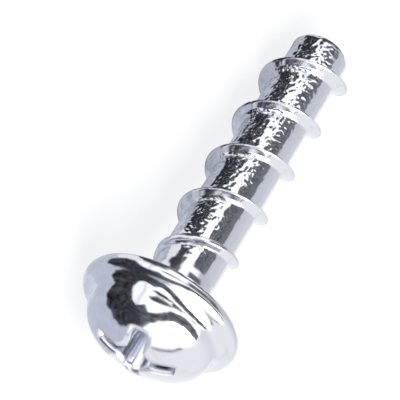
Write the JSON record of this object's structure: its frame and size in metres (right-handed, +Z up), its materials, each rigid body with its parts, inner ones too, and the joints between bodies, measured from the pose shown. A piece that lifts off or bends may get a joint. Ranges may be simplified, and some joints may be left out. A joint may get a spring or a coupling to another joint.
{
  "type": "thread-forming screw",
  "caption": "Short bright-plated screw with a domed washer head, a cross recess, a coarse sharp right-hand thread and a flat end, lying on its rim and thread.",
  "frame": {"origin": "on the surface that the screw lies on, under the middle of its bounding box", "axes": "+X along the shank towards the flat end, which lies 8.1 degrees down; +Z up"},
  "size_m": [0.0234, 0.0094, 0.0094],
  "materials": {
    "bright_plate": "bright"
  },
  "bodies": {
    "root": {"screw": "bright_plate"}
  },
  "joints": []
}
